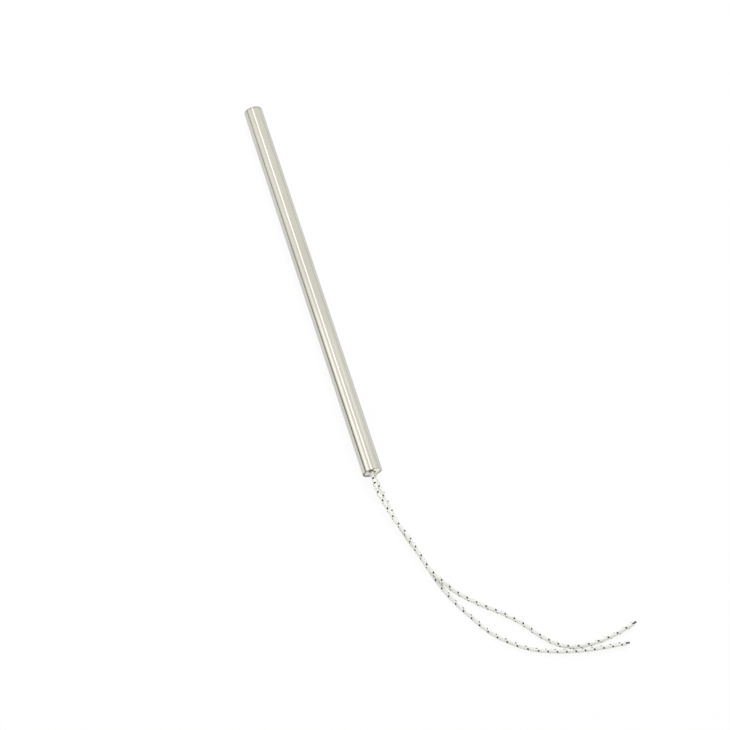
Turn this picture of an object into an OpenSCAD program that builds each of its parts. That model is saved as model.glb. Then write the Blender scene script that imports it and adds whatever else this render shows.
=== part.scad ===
// Cartridge heater: a steel sheath packed with wound ceramic cores, with two braided leads at one end.
// The sheath lies along Y with its lead end at -Y, resting on the plane z = 0.

/* [Sheath] */
// Outside diameter of the sheath
sheath_d = 10; // [9:0.1:12]
// Length of the sheath from the lead end to the blank end
sheath_len = 220; // [160:1:260]
// Wall thickness of the sheath
sheath_wall = 0.7; // [0.5:0.05:0.8]
// Bevel that takes the burr off the sheath's mouth
mouth_bevel = 0.2; // [0.1:0.05:0.4]

/* [Blank end] */
// Thickness of the disc welded into the blank end
disc_t = 3; // [2:0.1:5]
// Outer rounding of the weld round the disc
weld_r = 0.4; // [0.3:0.05:1]
// Depth of the groove that the weld fills
weld_depth = 1.4; // [1.2:0.1:1.8]
// Width of the disc's rim that the weld covers
weld_reach = 0.6; // [0.3:0.05:1]
// Thickness of the insulating wafer behind the disc
wafer_t = 4; // [2:0.1:8]

/* [Heated section] */
// Number of ceramic cores strung end to end
core_count = 9; // [4:1:12]
// Thickness of the powder between the winding and the sheath
fill_wall = 0.775; // [0.5:0.025:1]
// Bevel round a core's ends
core_bevel = 0.25; // [0.1:0.05:0.5]
// Diameter of the resistance wire
wire_d = 0.5; // [0.3:0.05:0.6]
// Spacing of the winding's turns before it is evened out
winding_pitch = 3; // [2.5:0.1:6]
// Room for the winding's tail at each end of the cores
tail_gap = 0.8; // [0.7:0.05:1.5]

/* [Pins] */
// Diameter of the two power pins
pin_d = 1.3; // [1:0.05:1.5]
// Distance between the pins' centres
pin_spacing = 2.8; // [2.6:0.05:3.2]
// Turn of the pair of pins about the sheath's axis, from upright
pin_turn = 23; // [0:1:90]
// Depth of the short pin in the first core
short_pin_seat = 15; // [8:0.5:16]

/* [Lead end] */
// Thickness of the ceramic cap at the lead end
cap_t = 4; // [2:0.1:8]
// Depth of the cap inside the sheath's mouth
cap_recess = 0.6; // [0.2:0.1:2]
// Bevel round each lead hole in the cap
hole_bevel = 0.25; // [0.1:0.05:0.4]
// Length of the spacer round the splices
spacer_len = 22; // [20:0.5:40]
// Outside diameter of a crimp sleeve
sleeve_d = 2; // [1.9:0.05:2.2]
// Length of a crimp sleeve
sleeve_len = 12; // [8:0.5:14]
// Depth of the two dents that the crimping tool leaves in a sleeve
dent_depth = 0.15; // [0.05:0.05:0.2]
// Radius of the crimping tool's nose
dent_r = 0.8; // [0.5:0.1:1.5]

/* [Leads] */
// Outside diameter of a lead's braid
lead_d = 2; // [1.6:0.05:2.2]
// Diameter of a lead's stranded conductor
conductor_d = 1; // [0.8:0.05:1.1]
// Depth of the insulated lead behind the cap
lead_seat = 3; // [1:0.5:4]
// Bare end of lead A
lead_a_tip = 2.4; // [1:0.1:8]
// Bare end of lead B
lead_b_tip = 2; // [1:0.1:8]
// Straight run of a lead out of the cap
exit_run = 4; // [2:0.5:6]

/* [Fits] */
// Radial clearance of what slides into the sheath
bore_fit = 0.03; // [0.01:0.01:0.1]
// Radial clearance of a pin in a core
pin_fit = 0.05; // [0.02:0.01:0.1]
// Radial clearance of a wire or pin in a crimp sleeve
crimp_fit = 0.03; // [0.01:0.01:0.06]
// Radial clearance of a lead or sleeve in its ceramic hole
lead_fit = 0.1; // [0.05:0.01:0.15]
// Clearance between the winding and what it lies on or under
wire_fit = 0.02; // [0.01:0.01:0.05]
// End gap inside a splice, between the strands, the pin and their seats
splice_gap = 0.5; // [0.2:0.1:1]

/* [Hidden] */
$fn = 64;
wire_sides = 5;
rings_per_turn = 12;
lead_sides = 8;
rings_per_span = 2;

sheath_r = sheath_d / 2;
bore_r = sheath_r - sheath_wall;
seat_r = bore_r - bore_fit;
lead_end_y = -sheath_len / 2;

// Places along the axis, measured inwards from the sheath's mouth
spacer_s = cap_recess + cap_t;
spacer_end_s = spacer_s + spacer_len;
lead_end_s = spacer_s + lead_seat;
sleeve_s = lead_end_s + splice_gap;
sleeve_mid_s = sleeve_s + sleeve_len / 2;
sleeve_end_s = sleeve_s + sleeve_len;
strand_end_s = sleeve_mid_s - splice_gap / 2;
pin_start_s = sleeve_mid_s + splice_gap / 2;
cores_s = spacer_end_s + tail_gap;
disc_s = sheath_len - disc_t;
wafer_s = disc_s - wafer_t;
cores_end_s = wafer_s - tail_gap;
core_len = (cores_end_s - cores_s) / core_count;

pin_r = pin_d / 2;
pin_bore_r = pin_r + pin_fit;
lead_bore_r = max(lead_d, sleeve_d) / 2 + lead_fit;
conductor_r = conductor_d / 2;
lead_wall_r = conductor_r + crimp_fit;

// Layers from the sheath inwards: powder, winding, and cores that its flat inner sides just clear
wire_r = wire_d / 2;
fill_bore_r = seat_r - fill_wall;
winding_r = fill_bore_r - wire_fit - wire_r;
core_r = (winding_r - wire_r * cos(180 / wire_sides)) * cos(180 / rings_per_turn) - wire_fit;
tail_r = pin_spacing / 2 + pin_r + wire_r + wire_fit;
winding_len = cores_end_s - cores_s + tail_gap;
winding_turns = floor(winding_len / winding_pitch) + 0.5;

// Pin places seen from the lead end: the short pin serves lead A, the long pin lead B
short_pin_angle = -90 - pin_turn;
long_pin_angle = short_pin_angle + 180;
lead_a_exit = [-pin_spacing / 2 * sin(pin_turn), sheath_r + pin_spacing / 2 * cos(pin_turn)];
lead_b_exit = [pin_spacing / 2 * sin(pin_turn), sheath_r - pin_spacing / 2 * cos(pin_turn)];

// Routes of the leads: to the right, out from the sheath's mouth, and clear of the surface below
lead_a_route = [
    [-0.6, 9, 4.4], [1, 16.5, 2.9], [3.5, 26, 2.1], [7, 36.5, 2.1], [9.5, 46.5, 2.1],
    [12.1, 55.5, 2.2], [16.2, 62.5, 1.5], [21, 69, 0.3], [29, 77, 0], [38, 84.5, 0], [45.5, 92, 0],
    [52, 100.5, 0], [59, 107, 0], [67, 110.2, 0], [77, 110.8, 0], [87, 109.7, 0], [95.1, 107.7, 0]
];
lead_b_route = [
    [1.2, 7, 2.4], [2.1, 13, 1.4], [3, 19, 0.4], [4.2, 26, 0], [6.6, 36, 0], [9.5, 45.5, 0],
    [11.8, 54, 0], [14, 62, 0], [18, 72, 0], [23.5, 82, 0], [29.5, 91.5, 0], [37, 99, 0],
    [45.5, 105, 0], [55, 109, 0], [65.5, 112, 0], [76, 113.9, 0], [88.8, 115.4, 0]
];

// Curve through all points, with even steps on each span
function curve_point(a, b, c, d, t) =
    b + (c - a) * t / 2
    + (2 * a - 5 * b + 4 * c - d) * t * t / 2
    + (3 * b - a - 3 * c + d) * t * t * t / 2;

function smooth(points) = let (last = len(points) - 1) concat(
    [for (i = [0 : last - 1]) for (k = [0 : rings_per_span - 1]) curve_point(
        i > 0 ? points[i - 1] : 2 * points[0] - points[1],
        points[i],
        points[i + 1],
        i < last - 1 ? points[i + 2] : 2 * points[last] - points[last - 1],
        k / rings_per_span
    )],
    [points[last]]
);

function unit(v) = v / norm(v);

function heading(path, i) = unit(path[min(i + 1, len(path) - 1)] - path[max(i - 1, 0)]);

// Ring of points round a path, square to it, with one corner straight down
function ring(path, i, radius) =
    let (ahead = heading(path, i), side = unit(cross(ahead, [0, 0, 1])), up = cross(side, ahead))
    [for (k = [0 : lead_sides - 1])
        let (a = 360 * k / lead_sides)
        path[i] + radius * (cos(a) * side + sin(a) * up)];

function path_rings(path, radius) = [for (i = [0 : len(path) - 1]) each ring(path, i, radius)];

// Faces of a skin over rings of corners, the first ring at the given corner
function skin(rings, sides, first = 0) = [
    for (i = [0 : rings - 2]) for (k = [0 : sides - 1])
        let (a = first + i * sides + k, b = first + i * sides + (k + 1) % sides)
        each [[a, b, b + sides], [a, b + sides, a + sides]]
];

function flipped(faces) = [for (f = faces) [for (k = [len(f) - 1 : -1 : 0]) f[k]]];

// Flat ends of a rod
function rod_ends(rings, sides) = [
    [for (k = [sides - 1 : -1 : 0]) k],
    [for (k = [0 : sides - 1]) (rings - 1) * sides + k]
];

// Flat ring ends of a tube, whose inner corners follow its outer ones
function tube_ends(rings, sides) = let (inner = rings * sides, last = (rings - 1) * sides) [
    for (k = [0 : sides - 1]) let (n = (k + 1) % sides) each [
        [k, inner + k, inner + n, n],
        [last + k, last + n, inner + last + n, inner + last + k]
    ]
];

// Lead paths in the part's frame, never lower than a lead that lies on the surface
function lead_place(p) = [p[0], lead_end_y - p[1], lead_d / 2 + max(p[2], 0)];

function exit_place(exit, out) = [exit[0], out, exit[1] - lead_d / 2];

function lead_path(exit, route) = [for (p = smooth(concat(
    [for (out = [-lead_end_s, 0, exit_run]) exit_place(exit, out)],
    route
))) lead_place(p)];

function conductor_path(exit, path, tip) = let (last = len(path) - 1) concat(
    [lead_place(exit_place(exit, -strand_end_s))],
    path,
    [path[last] + tip * heading(path, last)]
);

// Wire's centre at a turn of the winding: out from a pin, along the cores and in to the other pin
function tail_blend(turn) = max(0, 1 - 2 * turn);
function winding_centre(turn) =
    let (from_end = winding_turns + 1 - turn, along = (turn - 0.5) / winding_turns) [
        winding_r + (tail_r - winding_r) * (tail_blend(turn) + tail_blend(from_end)),
        cores_s - tail_gap / 2 + winding_len * min(1, max(0, along))
    ];

function winding_ring(turn) =
    let (centre = winding_centre(turn), angle = short_pin_angle + 360 * turn)
    [for (k = [0 : wire_sides - 1])
        let (a = 180 + 360 * (k + 0.5) / wire_sides, r = centre[0] + wire_r * cos(a))
        [r * cos(angle), r * sin(angle), centre[1] + wire_r * sin(a)]];

module along_axis(s) {
    translate([0, lead_end_y + s, sheath_r]) rotate([-90, 0, 0]) children();
}

module at_pin(angle) {
    rotate(angle) translate([pin_spacing / 2, 0, 0]) children();
}

module at_both_pins() {
    for (angle = [short_pin_angle, long_pin_angle]) at_pin(angle) children();
}

// Hole that runs clear of both faces
module drill(radius, depth) {
    translate([0, 0, -1]) cylinder(r = radius, h = depth + 2);
}

module sheath() {
    color([0.82, 0.81, 0.76]) along_axis(0) rotate_extrude() polygon([
        [bore_r, 0],
        [sheath_r - mouth_bevel, 0],
        [sheath_r, mouth_bevel],
        [sheath_r, sheath_len - weld_r],
        [bore_r, sheath_len - weld_depth]
    ]);
}

module end_disc() {
    color([0.78, 0.77, 0.73]) along_axis(sheath_len) rotate_extrude() polygon([
        [0, -disc_t],
        [seat_r, -disc_t],
        [seat_r, -weld_depth],
        [bore_r - weld_reach, 0],
        [0, 0]
    ]);
}

module end_weld() {
    color([0.7, 0.68, 0.62]) along_axis(sheath_len) rotate_extrude() difference() {
        polygon([
            [bore_r - weld_reach, 0],
            [sheath_r, 0],
            [sheath_r, -weld_r],
            [bore_r, -weld_depth]
        ]);
        translate([sheath_r - weld_r, -weld_r]) difference() {
            square(2 * weld_r);
            circle(r = weld_r);
        }
    }
}

module end_wafer() {
    color([0.93, 0.91, 0.86]) along_axis(wafer_s) cylinder(r = seat_r, h = wafer_t);
}

module core(i) {
    color([0.95, 0.93, 0.88]) along_axis(cores_s + (i - 1) * core_len) difference() {
        rotate_extrude() polygon([
            [0, 0],
            [core_r - core_bevel, 0],
            [core_r, core_bevel],
            [core_r, core_len - core_bevel],
            [core_r - core_bevel, core_len],
            [0, core_len]
        ]);
        at_both_pins() drill(pin_bore_r, core_len);
    }
}

module winding() {
    count = round((winding_turns + 1) * rings_per_turn) + 1;
    color([0.45, 0.42, 0.4]) along_axis(0) polyhedron(
        points = [for (i = [0 : count - 1]) each winding_ring(i / rings_per_turn)],
        faces = concat(skin(count, wire_sides), rod_ends(count, wire_sides))
    );
}

module powder_fill() {
    length = wafer_s - spacer_end_s;
    color([0.9, 0.88, 0.84]) along_axis(spacer_end_s) difference() {
        cylinder(r = seat_r, h = length);
        drill(fill_bore_r, length);
    }
}

module long_pin() {
    color([0.72, 0.7, 0.66]) along_axis(pin_start_s) at_pin(long_pin_angle)
        cylinder(r = pin_r, h = wafer_s - pin_fit - pin_start_s);
}

module short_pin() {
    color([0.72, 0.7, 0.66]) along_axis(pin_start_s) at_pin(short_pin_angle)
        cylinder(r = pin_r, h = cores_s + short_pin_seat - pin_start_s);
}

module terminal_spacer() {
    splice_room = sleeve_end_s + splice_gap - spacer_s;
    color([0.94, 0.92, 0.87]) along_axis(spacer_s) difference() {
        cylinder(r = seat_r, h = spacer_len);
        at_both_pins() drill(pin_bore_r, spacer_len);
        at_both_pins() translate([0, 0, -1]) cylinder(r = lead_bore_r, h = splice_room + 1);
    }
}

module crimp_sleeve(angle) {
    color([0.75, 0.73, 0.68]) along_axis(sleeve_s) at_pin(angle) difference() {
        cylinder(d = sleeve_d, h = sleeve_len);
        drill(conductor_r + crimp_fit, sleeve_len);
        translate([0, 0, sleeve_len / 2]) cylinder(r = pin_r + crimp_fit, h = sleeve_len);
        for (share = [0.25, 0.75])
            translate([sleeve_d / 2 - dent_depth + dent_r, 0, share * sleeve_len])
                rotate([90, 0, 0]) cylinder(r = dent_r, h = sleeve_d, center = true);
    }
}

module lead_end_cap() {
    color([0.88, 0.85, 0.76]) along_axis(cap_recess) difference() {
        cylinder(r = seat_r, h = cap_t);
        at_both_pins() drill(lead_d / 2 + lead_fit, cap_t);
        at_both_pins() cylinder(
            r1 = lead_d / 2 + lead_fit + hole_bevel,
            r2 = lead_d / 2 + lead_fit,
            h = hole_bevel
        );
    }
}

module lead_insulation(exit, route) {
    path = lead_path(exit, route);
    count = len(path);
    color([0.93, 0.92, 0.86]) polyhedron(
        points = concat(path_rings(path, lead_d / 2), path_rings(path, lead_wall_r)),
        faces = concat(
            skin(count, lead_sides),
            flipped(skin(count, lead_sides, count * lead_sides)),
            tube_ends(count, lead_sides)
        )
    );
}

module lead_conductor(exit, route, tip) {
    path = conductor_path(exit, lead_path(exit, route), tip);
    count = len(path);
    color([0.4, 0.4, 0.4]) polyhedron(
        points = path_rings(path, conductor_r),
        faces = concat(skin(count, lead_sides), rod_ends(count, lead_sides))
    );
}

sheath();
end_disc();
end_weld();
end_wafer();
for (i = [1 : core_count])
    core(i);
winding();
powder_fill();
long_pin();
short_pin();
terminal_spacer();
crimp_sleeve(short_pin_angle);  // crimp_sleeve_a
crimp_sleeve(long_pin_angle);  // crimp_sleeve_b
lead_end_cap();
lead_insulation(lead_a_exit, lead_a_route);  // lead_a_insulation
lead_conductor(lead_a_exit, lead_a_route, lead_a_tip);  // lead_a_conductor
lead_insulation(lead_b_exit, lead_b_route);  // lead_b_insulation
lead_conductor(lead_b_exit, lead_b_route, lead_b_tip);  // lead_b_conductor
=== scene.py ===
"""Cartridge heater lying on a plain white floor.

The solids of the frame keep their shapes and get procedural finishes. The two leads are rebuilt as what
they are: a glass-fibre braid with one black tracer yarn, over a bundle of twisted strands.
Lengths are in metres. The sheath lies along Y, with its lead end at -Y.
"""
import math

import bpy
import numpy as np
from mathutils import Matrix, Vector


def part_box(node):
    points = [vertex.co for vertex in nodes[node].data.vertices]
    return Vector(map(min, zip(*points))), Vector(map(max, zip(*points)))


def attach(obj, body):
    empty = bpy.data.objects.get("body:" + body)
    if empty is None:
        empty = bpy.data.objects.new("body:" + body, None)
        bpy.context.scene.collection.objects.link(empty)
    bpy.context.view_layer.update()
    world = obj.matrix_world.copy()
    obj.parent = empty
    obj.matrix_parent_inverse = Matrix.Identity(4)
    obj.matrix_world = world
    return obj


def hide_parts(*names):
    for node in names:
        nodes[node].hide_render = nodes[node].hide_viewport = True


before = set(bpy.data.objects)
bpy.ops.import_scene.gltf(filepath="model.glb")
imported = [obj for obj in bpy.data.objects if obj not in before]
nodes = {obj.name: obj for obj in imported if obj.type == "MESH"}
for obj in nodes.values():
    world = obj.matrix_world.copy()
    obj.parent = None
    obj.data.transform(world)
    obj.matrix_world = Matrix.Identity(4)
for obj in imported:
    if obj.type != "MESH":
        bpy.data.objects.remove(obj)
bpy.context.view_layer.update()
sheath_low, sheath_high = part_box("sheath")
mouth_y = sheath_low.y
axis_z = (sheath_low.z + sheath_high.z) / 2
rng = np.random.default_rng(7)

# Camera, fitted to the sheath's outline
VIEW_AZIMUTH = math.radians(-17.09)
VIEW_ELEVATION = math.radians(65.14)
VIEW_DISTANCE = 0.8174
VIEW_TARGET = Vector((0.01423, -0.0511, 0))
LENS_MM = 79.26
SENSOR_MM = 36

# Leads
LEAD_R = 0.001
LEAD_INSIDE = 0.0076
STRANDS_INSIDE = 0.01385
EXIT_RUN = 0.004
BARE_TIP = {"a": 0.0024, "b": 0.002}
EXIT_X_Z = {"a": (-0.000547, 0.006289), "b": (0.000547, 0.003711)}

# Routes of the leads: to the right, out from the sheath's mouth, and clear of the floor
ROUTE = {
    "a": [
        (-0.0006, 0.009, 0.0044), (0.001, 0.0165, 0.0029), (0.0035, 0.026, 0.0021),
        (0.007, 0.0365, 0.0021), (0.0095, 0.0465, 0.0021), (0.0121, 0.0555, 0.0022),
        (0.0162, 0.0625, 0.0015), (0.021, 0.069, 0.0003), (0.029, 0.077, 0), (0.038, 0.0845, 0),
        (0.0455, 0.092, 0), (0.052, 0.1005, 0), (0.059, 0.107, 0), (0.067, 0.1102, 0),
        (0.077, 0.1108, 0), (0.087, 0.1097, 0), (0.0951, 0.1077, 0),
    ],
    "b": [
        (0.0012, 0.007, 0.0024), (0.0021, 0.013, 0.0014), (0.003, 0.019, 0.0004), (0.0042, 0.026, 0),
        (0.0066, 0.036, 0), (0.0095, 0.0455, 0), (0.0118, 0.054, 0), (0.014, 0.062, 0),
        (0.018, 0.072, 0), (0.0235, 0.082, 0), (0.0295, 0.0915, 0), (0.037, 0.099, 0),
        (0.0455, 0.105, 0), (0.055, 0.109, 0), (0.0655, 0.112, 0), (0.076, 0.1139, 0),
        (0.0888, 0.1154, 0),
    ],
}
STEPS_PER_SPAN = 24

# Braid: eight yarns each way, over two and under two, one of them black
YARNS_EACH_WAY = 8
RING_STEP = 0.00015
YARN_W = 0.00045
YARN_T = 0.00015
YARN_WAVE = 0.000075
YARN_SECTION = [(-0.5, -0.2), (-0.27, 0.42), (0.27, 0.42), (0.5, -0.2), (0, -0.5)]
YARN_END_SPREAD = 0.00025
FLOAT_COLUMNS = 4
COLUMN_ANGLE = math.radians(11.25)
TRACER_COLUMN = COLUMN_ANGLE + 2 * math.pi / FLOAT_COLUMNS
TRACER = 0
TRACER_W = 0.0009
TRACER_RISE = 0.00002
FRAY_LENGTH = 0.0006
FRAY_FLARE = 0.00012

# Lay of the braid: turns of the tracer and roll in degrees, each at a distance from the sheath's mouth
TRACER_TURNS = {
    "a": [(-0.014, -4.22), (0.0435, 8), (0.0642, 12), (0.0938, 18), (0.1317, 26), (0.175, 34.78)],
    "b": [(-0.014, -4.06), (0.0208, 3), (0.0352, 6), (0.0616, 12), (0.1218, 24), (0.175, 36.15)],
}
BRAID_ROLL = {
    "a": [(0.0035, 156), (0.0059, -24), (0.022, -24), (0.038, 20), (0.055, -5), (0.12, -3), (0.16, -15)],
    "b": [(0.003, 75), (0.013, 50), (0.021, 15), (0.035, -38), (0.11, -51), (0.14, -35), (0.16, -48)],
}

# Materials of the braid's piece, and the shift of their map from one yarn to the next
YARN_SLOT = 0
TRACER_SLOT = 1
WRAP_SLOT = 2
NEXT_YARN_SHIFT = 0.37
OTHER_WAY_SHIFT = 3.1

# Wrap under the braid
WRAP_OUTER_R = 0.00072
WRAP_INNER_R = 0.00053
WRAP_SIDES = 12
WRAP_STEP = 0.0013

# Strands: one, six round it and twelve round those
STRAND_LAYERS = [(1, 0.0), (6, 0.0002), (12, 0.0004)]
STRAND_R = 0.0001
STRAND_SIDES = 6
STRAND_PITCH = 0.009
STRAND_STEP = 0.0006
STRAND_END_SPREAD = 0.00012

# Sheath: tint at a glancing view, the cut edge at the mouth in painted shade at its left and painted light
# at its right, and heat tint at the blank end
EDGE_TINT = (0.8, 0.8, 0.8, 1)
MOUTH_BEVEL = 0.0002
# Painted shade at the cut edge's left and painted light at its right
CUT_EDGE_PAINTED_SHADE_LEFT = (0.15, 0.145, 0.14)
CUT_EDGE_PAINTED_LIGHT_RIGHT = (0.64, 0.62, 0.58)
HEAT_BAND = 0.0011
HEAT_TINT = (0.42, 0.41, 0.385, 1)

# Blank end's disc and weld
DISC_CLOUDS = 0.25
RIPPLES_ROUND = 60
RIPPLE_SLANT = 5000
RIPPLE_DRIFT = 9
STRAW_TINT = (0.42, 0.38, 0.29, 1)

# Painted shade at the leads' roots: on the cap round a hole, and on the braid from one place at the mouth to
# another
PAINTED_SHADE = (0.12, 0.11, 0.09, 1)
CAP_SHADE_WIDTH = 0.0007
ROOT_SHADE_START = -0.0005
ROOT_SHADE_END = 0.0004

# Grain of the plain finishes
PORES_PER_GRAIN = 1.6
METAL_ROUGHNESS_SPREAD = 0.08
FIBRE_ROUGHNESS_SPREAD = 0.1
FIBRE_STRETCH = (400, 14, 1)

# Floor and room
FLOOR_HALF = 6.0
FLOOR_GREY = 0.95
FLOOR_GLOW = 0.89
FLOOR_FADE_START = 0.5
FLOOR_FADE_END = 2.0
ROOM_LIGHT = 0.75
ROOM_WARMTH = (1.0, 0.985, 0.945, 1)
WHITE = (1, 1, 1, 1)

# Cards: greys at distances along Y
CARD_WARMTH = 0.92
LEFT_GREYS = [(-4, 0.2), (0.1, 0.2), (0.5, 0.62), (0.6, 0.62), (0.8, 0.2), (4, 0.2)]
RIGHT_GREYS = [(-4, 0.3), (-0.05, 0.3), (0.05, 0.8), (0.5, 0.7), (0.6, 0.7), (0.8, 0.3), (4, 0.3)]
SIDE_GREY = 0.62
STRIP_GLOW = 1.9


def add_object(name, data):
    thing = bpy.data.objects.new(name, data)
    bpy.context.scene.collection.objects.link(thing)
    return thing


# Nodes of materials


def add_node(tree, kind, inputs=None, **settings):
    """New node with its settings, and each input set to a value or linked to a socket."""
    node = tree.nodes.new(kind)
    for key, value in settings.items():
        setattr(node, key, value)
    for key, value in (inputs or {}).items():
        if isinstance(value, bpy.types.NodeSocket):
            tree.links.new(value, node.inputs[key])
        else:
            node.inputs[key].default_value = value
    return node


def math_node(tree, operation, first, second=0.0):
    return add_node(tree, "ShaderNodeMath", {0: first, 1: second}, operation=operation).outputs[0]


def new_material(name, metallic=0.0):
    material = bpy.data.materials.new(name)
    material.use_nodes = True
    tree = material.node_tree
    shader = tree.nodes["Principled BSDF"]
    shader.inputs["Metallic"].default_value = metallic
    return material, tree, shader


def dress(tree, shader, colour, roughness, normal):
    tree.links.new(colour, shader.inputs["Base Color"])
    tree.links.new(roughness, shader.inputs["Roughness"])
    tree.links.new(normal, shader.inputs["Normal"])


def object_coords(tree, scale=(1, 1, 1)):
    """Place in the frame, stretched by a scale along each axis."""
    place = add_node(tree, "ShaderNodeTexCoord").outputs["Object"]
    return add_node(tree, "ShaderNodeMapping", {"Vector": place, "Scale": scale}).outputs[0]


def place_axes(tree):
    """Place in the frame as its X, Y and Z."""
    return add_node(tree, "ShaderNodeSeparateXYZ", {0: object_coords(tree)}).outputs


def round_axis(tree):
    """Distance from the sheath's axis and angle round it."""
    place = place_axes(tree)
    rise = math_node(tree, "SUBTRACT", place["Z"], axis_z)
    squares = [math_node(tree, "MULTIPLY", side, side) for side in (place["X"], rise)]
    distance = math_node(tree, "SQRT", math_node(tree, "ADD", *squares))
    return distance, math_node(tree, "ARCTAN2", place["X"], rise)


def noise(tree, vector, scale, detail=3.0, roughness=0.5):
    settings = {"Vector": vector, "Scale": scale, "Detail": detail, "Roughness": roughness}
    return add_node(tree, "ShaderNodeTexNoise", settings).outputs["Fac"]


def ramped(tree, value, start=0.0, end=1.0, low=0.0, high=1.0):
    """Number that goes from low to high while a value goes from start to end."""
    ends = {0: value, 1: start, 2: end, 3: low, 4: high}
    return add_node(tree, "ShaderNodeMapRange", ends).outputs[0]


def two_tones(tree, factor, dark, light, low=0.3, high=0.7):
    ramp = add_node(tree, "ShaderNodeValToRGB", {0: factor})
    first, last = ramp.color_ramp.elements
    first.position = low
    first.color = (*dark, 1)
    last.position = high
    last.color = (*light, 1)
    return ramp.outputs[0]


def mixed(tree, factor, first, second):
    """Colour that goes from a first to a second, each a colour or a socket."""
    return add_node(tree, "ShaderNodeMixRGB", {0: factor, 1: first, 2: second}).outputs[0]


def bump(tree, height, distance, strength):
    settings = {"Height": height, "Distance": distance, "Strength": strength}
    return add_node(tree, "ShaderNodeBump", settings).outputs[0]


def seen_directly(tree):
    """1 for rays from the camera, a reflection or a clear body, else 0."""
    path = add_node(tree, "ShaderNodeLightPath").outputs
    mirrored = math_node(tree, "MAXIMUM", path["Is Glossy Ray"], path["Is Transmission Ray"])
    return math_node(tree, "MAXIMUM", path["Is Camera Ray"], mirrored)


# Finishes


def sheath_colour(tree):
    """Clouded steel, with the cut edge at the mouth in painted shade at its left and painted light at its
    right, and a heat tint at the blank end.
    """
    clouds = noise(tree, object_coords(tree, (1, 0.25, 1)), scale=160.0, detail=4.0)
    ground = two_tones(tree, clouds, dark=(0.605, 0.595, 0.54), light=(0.665, 0.655, 0.597))
    place = place_axes(tree)
    cut = math_node(tree, "LESS_THAN", place["Y"], mouth_y + MOUTH_BEVEL)
    across = ramped(tree, place["X"], sheath_low.x, sheath_high.x)
    # Painted shade and light: the cut edge goes from dark at its left to light at its right.
    edge = two_tones(tree, across, CUT_EDGE_PAINTED_SHADE_LEFT, CUT_EDGE_PAINTED_LIGHT_RIGHT, low=0.0, high=1.0)
    heat = ramped(tree, place["Y"], sheath_high.y - HEAT_BAND, sheath_high.y)
    return mixed(tree, heat, mixed(tree, cut, ground, edge), HEAT_TINT)


def sheath_steel():
    """Ground and polished stainless steel: fine rings round it, faint clouds and a few long scratches."""
    material, tree, shader = new_material("sheath_steel", metallic=1.0)
    shader.inputs["Specular Tint"].default_value = EDGE_TINT
    rings = noise(tree, object_coords(tree, (0.02, 1, 0.02)), scale=9000.0, detail=2.0)
    scratches = noise(tree, object_coords(tree, (1, 0.03, 1)), scale=2600.0, detail=2.0)
    grind = math_node(tree, "MULTIPLY", rings, scratches)
    roughness = ramped(tree, grind, low=0.12, high=0.24)
    normal = bump(tree, grind, distance=0.000004, strength=0.3)
    dress(tree, shader, sheath_colour(tree), roughness, normal)
    return material


def disc_steel():
    """Turned stainless steel, with the tool's rings round its middle."""
    material, tree, shader = new_material("disc_steel", metallic=1.0)
    distance, _ = round_axis(tree)
    outward = add_node(tree, "ShaderNodeCombineXYZ", {0: distance}).outputs[0]
    rings = noise(tree, outward, scale=1800.0, detail=2.0)
    clouds = noise(tree, object_coords(tree), scale=500.0, detail=4.0)
    both = mixed(tree, DISC_CLOUDS, rings, clouds)
    colour = two_tones(tree, both, dark=(0.44, 0.43, 0.4), light=(0.6, 0.59, 0.55), low=0.4, high=0.6)
    roughness = ramped(tree, both, low=0.2, high=0.4)
    dress(tree, shader, colour, roughness, bump(tree, rings, distance=0.00002, strength=0.6))
    return material


def weld_steel():
    """Fused bead with slanted ripples, straw tinted in places."""
    material, tree, shader = new_material("weld_steel", metallic=1.0)
    distance, angle = round_axis(tree)
    drift = noise(tree, object_coords(tree), scale=700.0)
    turns = math_node(tree, "MULTIPLY", angle, RIPPLES_ROUND)
    slant = math_node(tree, "MULTIPLY", distance, RIPPLE_SLANT)
    even = math_node(tree, "ADD", turns, slant)
    ripples = math_node(tree, "SINE", math_node(tree, "ADD", even, ramped(tree, drift, high=RIPPLE_DRIFT)))
    bare = two_tones(
        tree, ripples, dark=(0.3, 0.295, 0.275), light=(0.42, 0.41, 0.385), low=0.0, high=1.0
    )
    colour = mixed(tree, ramped(tree, drift, start=0.45, end=0.65), bare, STRAW_TINT)
    roughness = ramped(tree, drift, low=0.2, high=0.42)
    dress(tree, shader, colour, roughness, bump(tree, ripples, distance=0.00002, strength=0.7))
    return material


def plain_metal(name, dark, light, roughness, grain=(1, 1, 1)):
    """Drawn or worn metal, with a fine grain that may be stretched along one way."""
    material, tree, shader = new_material(name, metallic=1.0)
    lines = noise(tree, object_coords(tree, grain), scale=3000.0)
    spread = METAL_ROUGHNESS_SPREAD
    rough = ramped(tree, lines, low=roughness - spread, high=roughness + spread)
    normal = bump(tree, lines, distance=0.000006, strength=0.4)
    dress(tree, shader, two_tones(tree, lines, dark, light), rough, normal)
    return material


def shade_round(tree, x, z):
    """Share of painted shade: 1 at the edge of a lead's hole in the cap, falling to 0 a little way from it.
    """
    flat = object_coords(tree, (1, 0, 1))
    away = add_node(tree, "ShaderNodeVectorMath", {0: flat, 1: (x, 0, z)}, operation="DISTANCE")
    return ramped(tree, away.outputs["Value"], LEAD_R + CAP_SHADE_WIDTH, LEAD_R)


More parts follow.
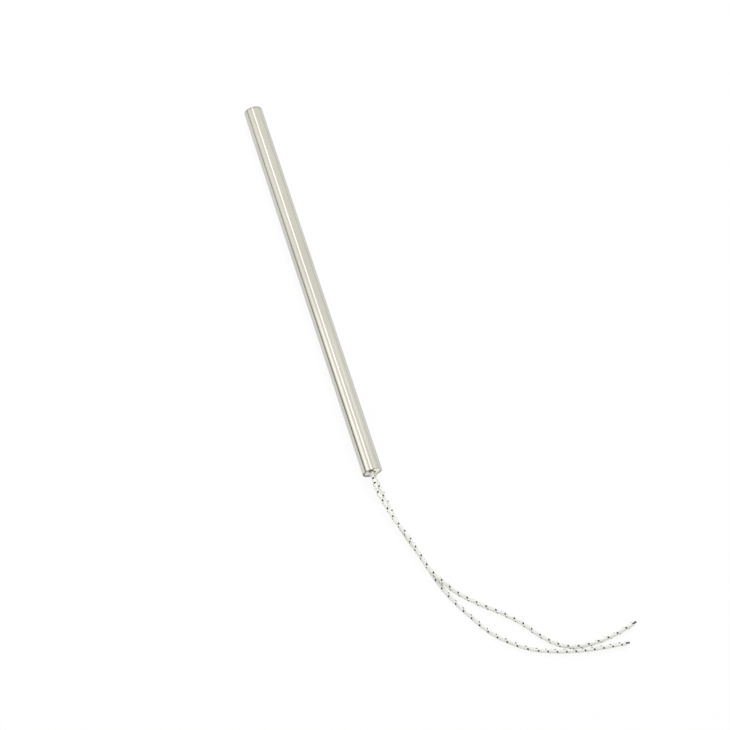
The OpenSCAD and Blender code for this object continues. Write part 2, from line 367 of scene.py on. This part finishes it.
def ceramic(name, dark, light, grain_scale, shaded_holes=()):
    """Matt fired ceramic with grains and small pores, with painted shade close round the given holes."""
    material, tree, shader = new_material(name)
    place = object_coords(tree)
    grains = noise(tree, place, scale=grain_scale, detail=5.0, roughness=0.65)
    cells = {"Vector": place, "Scale": grain_scale * PORES_PER_GRAIN}
    pores = add_node(tree, "ShaderNodeTexVoronoi", cells).outputs["Distance"]
    colour = two_tones(tree, grains, dark, light)
    for x, z in shaded_holes:
        # Painted shade: a dark ring on the cap round each hole, where the lead's root stands in a shadowed
        # gap.
        colour = mixed(tree, shade_round(tree, x, z), colour, PAINTED_SHADE)
    surface = math_node(tree, "ADD", grains, ramped(tree, pores, low=-0.5, high=0.5))
    roughness = ramped(tree, grains, low=0.7, high=0.9)
    dress(tree, shader, colour, roughness, bump(tree, surface, distance=0.00003, strength=0.5))
    return material


def fibres(name, dark, light, roughness):
    """Bundle of fine fibres that run along a yarn, with painted shade at the lead's root."""
    material, tree, shader = new_material(name)
    along = add_node(tree, "ShaderNodeUVMap", uv_map="yarn").outputs[0]
    stretched = add_node(tree, "ShaderNodeMapping", {"Vector": along, "Scale": FIBRE_STRETCH}).outputs[0]
    streaks = noise(tree, stretched, scale=1.0, roughness=0.6)
    # Painted shade: the braid darkens at its root, inside the shadowed mouth.
    root_shade = ramped(tree, place_axes(tree)["Y"], mouth_y + ROOT_SHADE_START, mouth_y + ROOT_SHADE_END)
    colour = mixed(tree, root_shade, two_tones(tree, streaks, dark, light), PAINTED_SHADE)
    spread = FIBRE_ROUGHNESS_SPREAD
    rough = ramped(tree, streaks, low=roughness - spread, high=roughness + spread)
    dress(tree, shader, colour, rough, bump(tree, streaks, distance=0.00002, strength=0.6))
    return material


# Leads


def smooth_points(points, steps):
    """Curve through all points, with even steps on each span."""
    p = np.vstack([2 * points[0] - points[1], points, 2 * points[-1] - points[-2]])
    a, b, c, d = p[:-3, None], p[1:-2, None], p[2:-1, None], p[3:, None]
    t = (np.arange(steps) / steps)[None, :, None]
    spans = (
        b
        + (c - a) * t / 2
        + (2 * a - 5 * b + 4 * c - d) * t**2 / 2
        + (3 * b - a - 3 * c + d) * t**3 / 2
    )
    return np.vstack([spans.reshape(-1, 3), points[-1]])


def unit(v):
    return v / np.linalg.norm(v, axis=-1, keepdims=True)


def even_angles(number):
    return 2 * np.pi * np.arange(number) / number


class LeadPath:
    """A lead's centreline from its inner end, with a frame at any distance along it."""

    def __init__(self, lead):
        x, z = EXIT_X_Z[lead]
        straight = [(x, out, z - LEAD_R) for out in (-LEAD_INSIDE, 0, EXIT_RUN)]
        p = smooth_points(np.array(straight + ROUTE[lead], float), STEPS_PER_SPAN)
        p = np.column_stack([p[:, 0], mouth_y - p[:, 1], LEAD_R + np.maximum(p[:, 2], 0)])
        steps = np.linalg.norm(np.diff(p, axis=0), axis=1)
        self.points = p
        self.along = np.concatenate([[0], np.cumsum(steps)])
        self.length = self.along[-1]
        self.ahead = unit(np.gradient(p, self.along, axis=0))

    def at(self, s):
        """Places, with the ways right and up there, at distances s, straight on beyond either end."""
        inside = np.clip(s, 0, self.length)
        place = np.column_stack([np.interp(inside, self.along, self.points[:, k]) for k in range(3)])
        ahead = unit(np.column_stack([np.interp(inside, self.along, self.ahead[:, k]) for k in range(3)]))
        place = place + (s - inside)[:, None] * ahead
        right = unit(np.cross(ahead, (0.0, 0.0, 1.0)))
        return place, right, np.cross(right, ahead)

    def around(self, s, radius, angle):
        """Places at a radius and an angle, which counts from the right over the top."""
        place, right, up = self.at(s)
        outward = np.cos(angle)[:, None] * right + np.sin(angle)[:, None] * up
        return place + np.asarray(radius).reshape(-1, 1) * outward, outward


class MeshParts:
    """Rods and tubes gathered into one mesh, each with a material and a map along it."""

    def __init__(self):
        self.points, self.faces, self.slots, self.maps = [], [], [], []
        self.count = 0

    def rod(self, rings, along, slot):
        """Closed rod over rings of points, an array of rings by sides by 3."""
        number, sides = rings.shape[:2]
        first = self.count
        i, k = np.meshgrid(np.arange(number - 1), np.arange(sides), indexing="ij")
        n = (k + 1) % sides
        a, b = first + i * sides + k, first + i * sides + n
        self.add_quads(np.stack([a, b, b + sides, a + sides], axis=-1), along[i], along[i + 1], k, slot)
        start = [first + s for s in reversed(range(sides))]
        end = [first + (number - 1) * sides + s for s in range(sides)]
        for cap, u in ((start, along[0]), (end, along[-1])):
            self.faces.append(cap)
            self.slots.append(slot)
            self.maps += [(u, 0.5)] * sides
        self.add_points(rings)

    def tube(self, outer, inner, along, slot):
        """Closed tube between rings of outer and of inner points."""
        loop = np.concatenate([outer, inner[::-1]])
        number, sides = loop.shape[:2]
        i, k = np.meshgrid(np.arange(number), np.arange(sides), indexing="ij")
        j, n = (i + 1) % number, (k + 1) % sides
        quads = np.stack([i * sides + k, i * sides + n, j * sides + n, j * sides + k], axis=-1)
        both = np.concatenate([along, along[::-1]])
        self.add_quads(self.count + quads, both[i], both[j], k, slot)
        self.add_points(loop)

    def add_quads(self, quads, u0, u1, side, slot):
        """Quads of a skin, mapped from u0 to u1 along it and by their side round it."""
        sides = side.max() + 1
        v0, v1 = side / sides, (side + 1) / sides
        maps = np.stack([np.stack([u0, u0, u1, u1], -1), np.stack([v0, v1, v1, v0], -1)], -1)
        self.faces += quads.reshape(-1, 4).tolist()
        self.maps += maps.reshape(-1, 2).tolist()
        self.slots += [slot] * side.size

    def add_points(self, rings):
        self.points.append(rings.reshape(-1, 3))
        self.count += len(self.points[-1])

    def build(self, name, materials):
        mesh = bpy.data.meshes.new(name)
        points = np.concatenate(self.points)
        points[:, 2] = np.maximum(points[:, 2], 0)
        mesh.from_pydata(points.tolist(), [], self.faces)
        mesh.polygons.foreach_set("material_index", self.slots)
        mesh.polygons.foreach_set("use_smooth", [True] * len(self.faces))
        layer = mesh.uv_layers.new(name="yarn")
        layer.data.foreach_set("uv", np.array(self.maps).ravel())
        for material in materials:
            mesh.materials.append(material)
        mesh.update()
        return add_object(name, mesh)


def is_tracer(way, number):
    return way == -1 and number == TRACER


def yarn_rings(path, lead, way, number, s):
    """Rings of one yarn. Yarns that turn left stand out where those that turn right dip."""
    turns = np.interp(s - LEAD_INSIDE, *zip(*TRACER_TURNS[lead]))
    roll = np.interp(s - LEAD_INSIDE, *zip(*BRAID_ROLL[lead]))
    turn = 2 * np.pi * (way * turns + number / YARNS_EACH_WAY) + TRACER_COLUMN
    wave = np.sin(np.pi / 2 * np.cos(FLOAT_COLUMNS * (turn - COLUMN_ANGLE)))
    black = is_tracer(way, number)
    middle = LEAD_R - YARN_WAVE - YARN_SECTION[1][1] * YARN_T + black * TRACER_RISE
    fray = np.clip((s - path.length + FRAY_LENGTH) / FRAY_LENGTH, 0, None)
    radius = middle - way * YARN_WAVE * wave + FRAY_FLARE * fray**2
    centre, outward = path.around(s, radius, turn + np.radians(roll))
    across = unit(np.cross(np.gradient(centre, axis=0), outward))
    width = TRACER_W if black else YARN_W
    rings = [centre + b * width * across + n * YARN_T * outward for b, n in YARN_SECTION]
    return np.stack(rings, axis=1)


def add_yarns(parts, lead, path):
    for way in (-1, 1):
        for number in range(YARNS_EACH_WAY):
            end = path.length + rng.uniform(-YARN_END_SPREAD, YARN_END_SPREAD)
            s = np.linspace(0.0, end, int(end / RING_STEP))
            shift = number * NEXT_YARN_SHIFT + way * OTHER_WAY_SHIFT
            slot = TRACER_SLOT if is_tracer(way, number) else YARN_SLOT
            parts.rod(yarn_rings(path, lead, way, number, s), s + shift, slot)


def add_wrap(parts, path):
    s = np.linspace(0, path.length, int(path.length / WRAP_STEP))
    skins = []
    for radius in (WRAP_OUTER_R, WRAP_INNER_R):
        columns = [path.around(s, radius, np.full(len(s), a))[0] for a in even_angles(WRAP_SIDES)]
        skins.append(np.stack(columns, axis=1))
    parts.tube(*skins, s, WRAP_SLOT)


def braid(lead, path, materials):
    """Braid over its wrap, in one piece."""
    parts = MeshParts()
    add_yarns(parts, lead, path)
    add_wrap(parts, path)
    return parts.build(f"lead_{lead}_braid", materials)


def strand_rings(path, s, radius, turn):
    """Rings of one strand, at a radius from the lead's middle."""
    centre, _ = path.around(s, np.full(len(s), radius), turn)
    ahead = unit(np.gradient(centre, axis=0))
    right = unit(np.cross(ahead, (0.0, 0.0, 1.0)))
    up = np.cross(right, ahead)
    corners = even_angles(STRAND_SIDES)
    rings = [centre + STRAND_R * (math.cos(a) * right + math.sin(a) * up) for a in corners]
    return np.stack(rings, axis=1)


def strands(lead, path, material):
    """Twisted strands from the splice inside the heater to the bare tip."""
    parts = MeshParts()
    start = LEAD_INSIDE - STRANDS_INSIDE
    for layer, (number, radius) in enumerate(STRAND_LAYERS):
        for i in range(number):
            end = path.length + BARE_TIP[lead] - rng.uniform(0, STRAND_END_SPREAD)
            s = np.linspace(start, end, int((end - start) / STRAND_STEP))
            turn = 2 * np.pi * (s / STRAND_PITCH + i / number) + layer
            parts.rod(strand_rings(path, s, radius, turn), s, 0)
    return parts.build(f"lead_{lead}_strands", [material])


def lead_pieces():
    cream = fibres("glass_yarn", (0.88, 0.876, 0.825), (0.955, 0.955, 0.915), roughness=0.55)
    black = fibres("tracer_yarn", (0.006, 0.006, 0.006), (0.022, 0.022, 0.023), roughness=0.6)
    wrap = fibres("glass_wrap", (0.7, 0.685, 0.61), (0.8, 0.785, 0.72), roughness=0.7)
    wire = plain_metal("lead_strands", (0.15, 0.15, 0.15), (0.27, 0.27, 0.27), roughness=0.42)
    for lead in ("a", "b"):
        path = LeadPath(lead)
        cover = braid(lead, path, [cream, black, wrap])
        core = strands(lead, path, wire)
        for piece, node, slot in ((cover, "insulation", "glass_braid"), (core, "conductor", "lead_strands")):
            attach(piece, "root")
            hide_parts(f"lead_{lead}_{node}")


# Solids that stay as they are


def cap_ceramic():
    """Cream ceramic, with painted shade round the upper lead's hole."""
    dark, light = (0.82, 0.785, 0.715), (0.92, 0.89, 0.82)
    return ceramic("cap_ceramic", dark, light, grain_scale=800.0, shaded_holes=[EXIT_X_Z["a"]])


def resistance_wire():
    return plain_metal("resistance_wire", (0.09, 0.08, 0.075), (0.18, 0.16, 0.15), roughness=0.45)


def pin_nickel():
    """Drawn nickel, its grain along the pins."""
    dark, light = (0.42, 0.4, 0.36), (0.55, 0.53, 0.48)
    return plain_metal("pin_nickel", dark, light, roughness=0.3, grain=(1, 0.02, 1))


def finish_nodes():
    """Finish of every solid that stays as it is: the ceramic of the cores where no other is named."""
    pale = ceramic("core_ceramic", (0.8, 0.77, 0.69), (0.88, 0.86, 0.8), grain_scale=900.0)
    finishes = {
        "sheath": sheath_steel(),
        "end_disc": disc_steel(),
        "end_weld": weld_steel(),
        "winding": resistance_wire(),
        "powder_fill": ceramic("powder", (0.72, 0.7, 0.63), (0.8, 0.78, 0.72), grain_scale=1500.0),
        "lead_end_cap": cap_ceramic(),
    }
    nickel = pin_nickel()
    for name in ("long_pin", "short_pin", "crimp_sleeve_a", "crimp_sleeve_b"):
        finishes[name] = nickel
    for name, node in nodes.items():
        if name.startswith("lead_") and name != "lead_end_cap":
            continue
        node.data.materials.clear()
        node.data.materials.append(finishes.get(name, pale))


# Stage


def facing(direction):
    """Turn of a camera or lamp that looks along a direction."""
    return direction.to_track_quat("-Z", "Y").to_euler()


def camera():
    flat = math.cos(VIEW_ELEVATION)
    back = Vector((
        math.sin(VIEW_AZIMUTH) * flat,
        -math.cos(VIEW_AZIMUTH) * flat,
        math.sin(VIEW_ELEVATION),
    ))
    data = bpy.data.cameras.new("camera")
    data.lens = LENS_MM
    data.sensor_width = SENSOR_MM
    view = add_object("camera", data)
    view.location = VIEW_TARGET + VIEW_DISTANCE * back
    view.rotation_euler = facing(-back)
    bpy.context.scene.camera = view


def area_light(name, place, target, width, depth, power, spread=180):
    data = bpy.data.lights.new(name, "AREA")
    data.shape = "RECTANGLE"
    data.size = width
    data.size_y = depth
    data.energy = power
    data.spread = math.radians(spread)
    light = add_object(name, data)
    light.location = place
    light.rotation_euler = facing(Vector(target) - Vector(place))
    return light


def stage_plane(name, corners, material):
    mesh = bpy.data.meshes.new(name)
    mesh.from_pydata(corners, [], [(0, 1, 2, 3)])
    mesh.materials.append(material)
    plane = add_object(name, mesh)
    return plane


def floor():
    """White floor that shows its own white to the eye, with some of the light and shadow on it."""
    material, tree, shader = new_material("floor_white")
    shader.inputs["Base Color"].default_value = (FLOOR_GREY, FLOOR_GREY, FLOOR_GREY, 1)
    shader.inputs["Roughness"].default_value = 1.0
    shader.inputs["Specular IOR Level"].default_value = 0.0
    glow = add_node(tree, "ShaderNodeEmission")
    away = add_node(tree, "ShaderNodeVectorMath", {0: object_coords(tree)}, operation="LENGTH")
    white = ramped(tree, away.outputs["Value"], FLOOR_FADE_START, FLOOR_FADE_END, low=FLOOR_GLOW)
    share = math_node(tree, "MULTIPLY", seen_directly(tree), white)
    both = add_node(tree, "ShaderNodeMixShader", {0: share, 1: shader.outputs[0], 2: glow.outputs[0]})
    tree.links.new(both.outputs[0], tree.nodes["Material Output"].inputs["Surface"])
    h = FLOOR_HALF
    stage_plane("floor", [(-h, -h, 0), (h, -h, 0), (h, h, 0), (-h, h, 0)], material)


def room():
    """White room: full white to the eye, a little warm in reflections, and softer as light."""
    world = bpy.data.worlds.new("room")
    world.use_nodes = True
    tree = world.node_tree
    strength = ramped(tree, seen_directly(tree), low=ROOM_LIGHT)
    tree.links.new(strength, tree.nodes["Background"].inputs["Strength"])
    reflected = add_node(tree, "ShaderNodeLightPath").outputs["Is Glossy Ray"]
    tint = mixed(tree, reflected, WHITE, ROOM_WARMTH)
    tree.links.new(tint, tree.nodes["Background"].inputs["Color"])
    bpy.context.scene.world = world


def card_glow(name, greys, strength):
    """Glow of a card, with greys at distances along Y."""
    material, tree, _ = new_material(name)
    start, end = greys[0][0], greys[-1][0]
    ramp = add_node(tree, "ShaderNodeValToRGB", {0: ramped(tree, place_axes(tree)["Y"], start, end)})
    stops = ramp.color_ramp.elements
    for y, _ in greys[1:-1]:
        stops.new((y - start) / (end - start))
    for stop, (_, grey) in zip(stops, greys):
        stop.color = (grey, grey, grey * CARD_WARMTH, 1)
    glow = add_node(tree, "ShaderNodeEmission", {"Color": ramp.outputs[0], "Strength": strength})
    tree.links.new(glow.outputs[0], tree.nodes["Material Output"].inputs["Surface"])
    return material


def card(name, low, high, greys, strength=1.0):
    """Card that only reflections show, as a line in the polished wall.

    It runs along Y between two edges, each an (x, z), and its greys are given at distances along Y.
    """
    start, end = greys[0][0], greys[-1][0]
    corners = [(x, y, z) for (x, z), y in ((low, start), (low, end), (high, end), (high, start))]
    plane = stage_plane(name, corners, card_glow(name, greys, strength))
    for ray in ("camera", "diffuse", "transmission", "volume_scatter", "shadow"):
        setattr(plane, f"visible_{ray}", False)


def cards():
    """Dark edges, a bright line and soft greys in the sheath, for the photo's side and for the others."""
    card("left_card", low=(-0.5, 0), high=(-0.5, 0.15), greys=LEFT_GREYS)
    card("right_card", low=(0.5, 0), high=(0.5, 0.1), greys=RIGHT_GREYS)
    for name, far, strip, full, none in (("front", -4, 0, -0.08, 0.1), ("back", 4, 0.9, 1.0, 0.75)):
        card(f"{name}_strip", (-0.135, 0.8), (0.015, 0.8), sorted([(far, 1), (strip, 1)]), STRIP_GLOW)
        fade = sorted([(far, SIDE_GREY), (full, SIDE_GREY), (none, 1)])
        card(f"{name}_right_grey", (0.3, 0.75), (0.62, 0.42), fade)
        card(f"{name}_left_grey", (-0.62, 0.42), (-0.3, 0.75), fade)


def lights():
    """Soft lamps, most of which also show in the sheath, and a narrow one on the cap."""
    area_light("overhead_strip", (-0.06, 0.45, 0.8), (-0.06, 0.45, 0), width=0.15, depth=0.9, power=0.5)
    area_light("left_softbox", (-0.557, 0.35, 0.507), (0, 0.35, 0.005), width=0.9, depth=0.36, power=0.16)
    area_light("left_lamp", (-0.505, 0.1, 0.46), (0, 0.1, 0.005), width=0.44, depth=0.33, power=0.19)
    area_light("right_lamp", (0.5, 0.06, 0.6), (0, 0.06, 0.005), width=0.5, depth=0.25, power=0.09)
    key = area_light("key", (0.25, 0.9, 0.9), (0.01, -0.03, 0), width=0.5, depth=0.5, power=7.5)
    mouth = (0, mouth_y, axis_z)
    spot = {"width": 0.01, "depth": 0.01, "power": 0.0003, "spread": 2.5}
    mouth_spot = area_light("mouth_spot", (0.3, -0.66, 0.2), mouth, **spot)
    for lamp in (key, mouth_spot):
        lamp.visible_glossy = False


camera()
lead_pieces()
finish_nodes()
floor()
room()
lights()
cards()
bpy.context.scene.view_settings.view_transform = "Standard"
